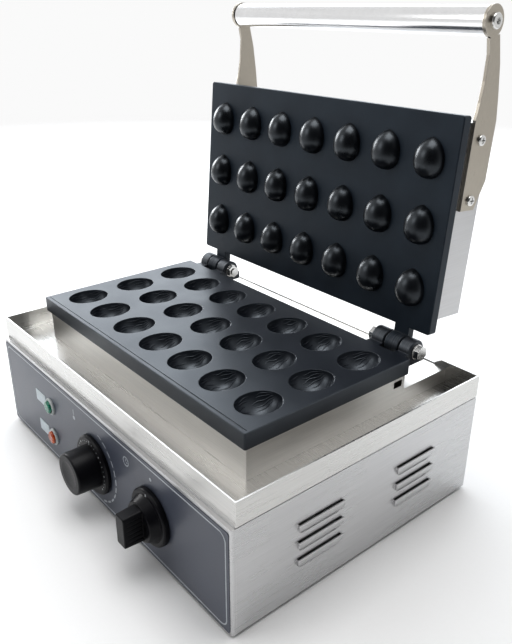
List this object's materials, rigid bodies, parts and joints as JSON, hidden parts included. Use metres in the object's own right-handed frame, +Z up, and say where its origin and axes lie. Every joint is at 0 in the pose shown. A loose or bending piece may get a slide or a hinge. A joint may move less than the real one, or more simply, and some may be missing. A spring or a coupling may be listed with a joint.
{
  "type": "countertop cake mould maker",
  "caption": "Electric countertop maker with walnut-shaped moulds in a lower plate, matching bumps on a hinged lid plate, side louvres and two control knobs.",
  "frame": {"origin": "on the table plane under the middle of the whole machine with its lid open", "axes": "+X to the right of someone facing the control panel, +Y from the panel to the hinge side, +Z up"},
  "size_m": [0.4052, 0.3507, 0.4327],
  "materials": {
    "stainless_body": "brushed stainless sheet",
    "stainless_tray": "bright rolled stainless sheet",
    "stainless_lid": "bright rolled stainless sheet",
    "polished_tube": "polished stainless tube",
    "slate_film": "satin dark slate printed film",
    "pale_ink": "pale screen print",
    "pale_label": "pale satin label",
    "lamp_bezel": "grey plastic",
    "green_lens": "clear green plastic lens",
    "amber_lens": "clear orange plastic lens",
    "white_plastic": "ivory plastic",
    "zinc_steel": "zinc plated steel",
    "copper": "bare copper",
    "knob_black": "satin black plastic",
    "mineral_wool": "mineral wool",
    "nonstick_plate": "satin grey-black non-stick coating on cast aluminium",
    "element_sheath": "dull oxidised sheath",
    "bright_steel": "bright zinc plated steel",
    "ceramic": "white ceramic",
    "brass": "brass",
    "wire_sleeve": "glass fibre sleeve",
    "black_plastic": "black plastic",
    "foot_rubber": "black rubber",
    "aluminium_plug": "turned aluminium"
  },
  "bodies": {
    "base": {"base_shell": "stainless_body", "bottom_pan": "stainless_body", "capillary_bulb": "copper", "cord_inlet": "black_plastic", "drip_tray": "stainless_tray", "element_clamps_lower": "zinc_steel", "front_panel": "stainless_body", "heat_shield": "zinc_steel", "heating_elements_lower": "element_sheath", "hinge_bolts": "bright_steel", "hinge_nuts": "bright_steel", "insulation_lower": "mineral_wool", "lamp_bezels": "lamp_bezel", "lamp_bodies": "white_plastic", "lamp_labels": "pale_label", "lamp_lens_amber": "amber_lens", "lamp_lens_green": "green_lens", "lead_grommet_base": "black_plastic", "lower_plate": "nonstick_plate", "panel_border": "pale_ink", "panel_film": "slate_film", "panel_marks": "pale_ink", "pedestal": "stainless_tray", "rubber_feet": "foot_rubber", "terminal_block": "ceramic", "terminal_screws": "brass", "thermostat": "zinc_steel", "timer": "white_plastic", "wiring": "wire_sleeve"},
    "lid": {"upper_plate": "nonstick_plate", "mould_bumps": "nonstick_plate", "lid_cover": "stainless_lid", "handle_arm_right": "stainless_lid", "handle_arm_left": "stainless_lid", "handle_tube": "polished_tube", "handle_end_plugs": "aluminium_plug", "handle_screws": "bright_steel", "arm_screws": "bright_steel", "heating_element_upper": "element_sheath", "element_clamps_upper": "zinc_steel", "insulation_upper": "mineral_wool", "lead_grommet_lid": "black_plastic"},
    "temperature_control": {"temperature_knob": "knob_black", "temperature_shaft": "zinc_steel", "temperature_dial_marks": "pale_ink"},
    "timer_control": {"timer_knob": "knob_black", "timer_shaft": "zinc_steel", "timer_pointer": "pale_ink"}
  },
  "joints": [
    {"name": "lid_hinge", "type": "hinge", "parent": "base", "child": "lid", "pos_m": [0, 0.0985, 0.1466], "axis": [1, 0, 0], "range_deg": [0, 94.5]},
    {"name": "temperature_turn", "type": "hinge", "parent": "base", "child": "temperature_control", "pos_m": [-0.003, -0.1455, 0.046], "axis": [0, 1, 0], "range_deg": [0, 270]},
    {"name": "timer_turn", "type": "hinge", "parent": "base", "child": "timer_control", "pos_m": [0.095, -0.1455, 0.049], "axis": [0, 1, 0], "range_deg": [0, 300]}
  ]
}
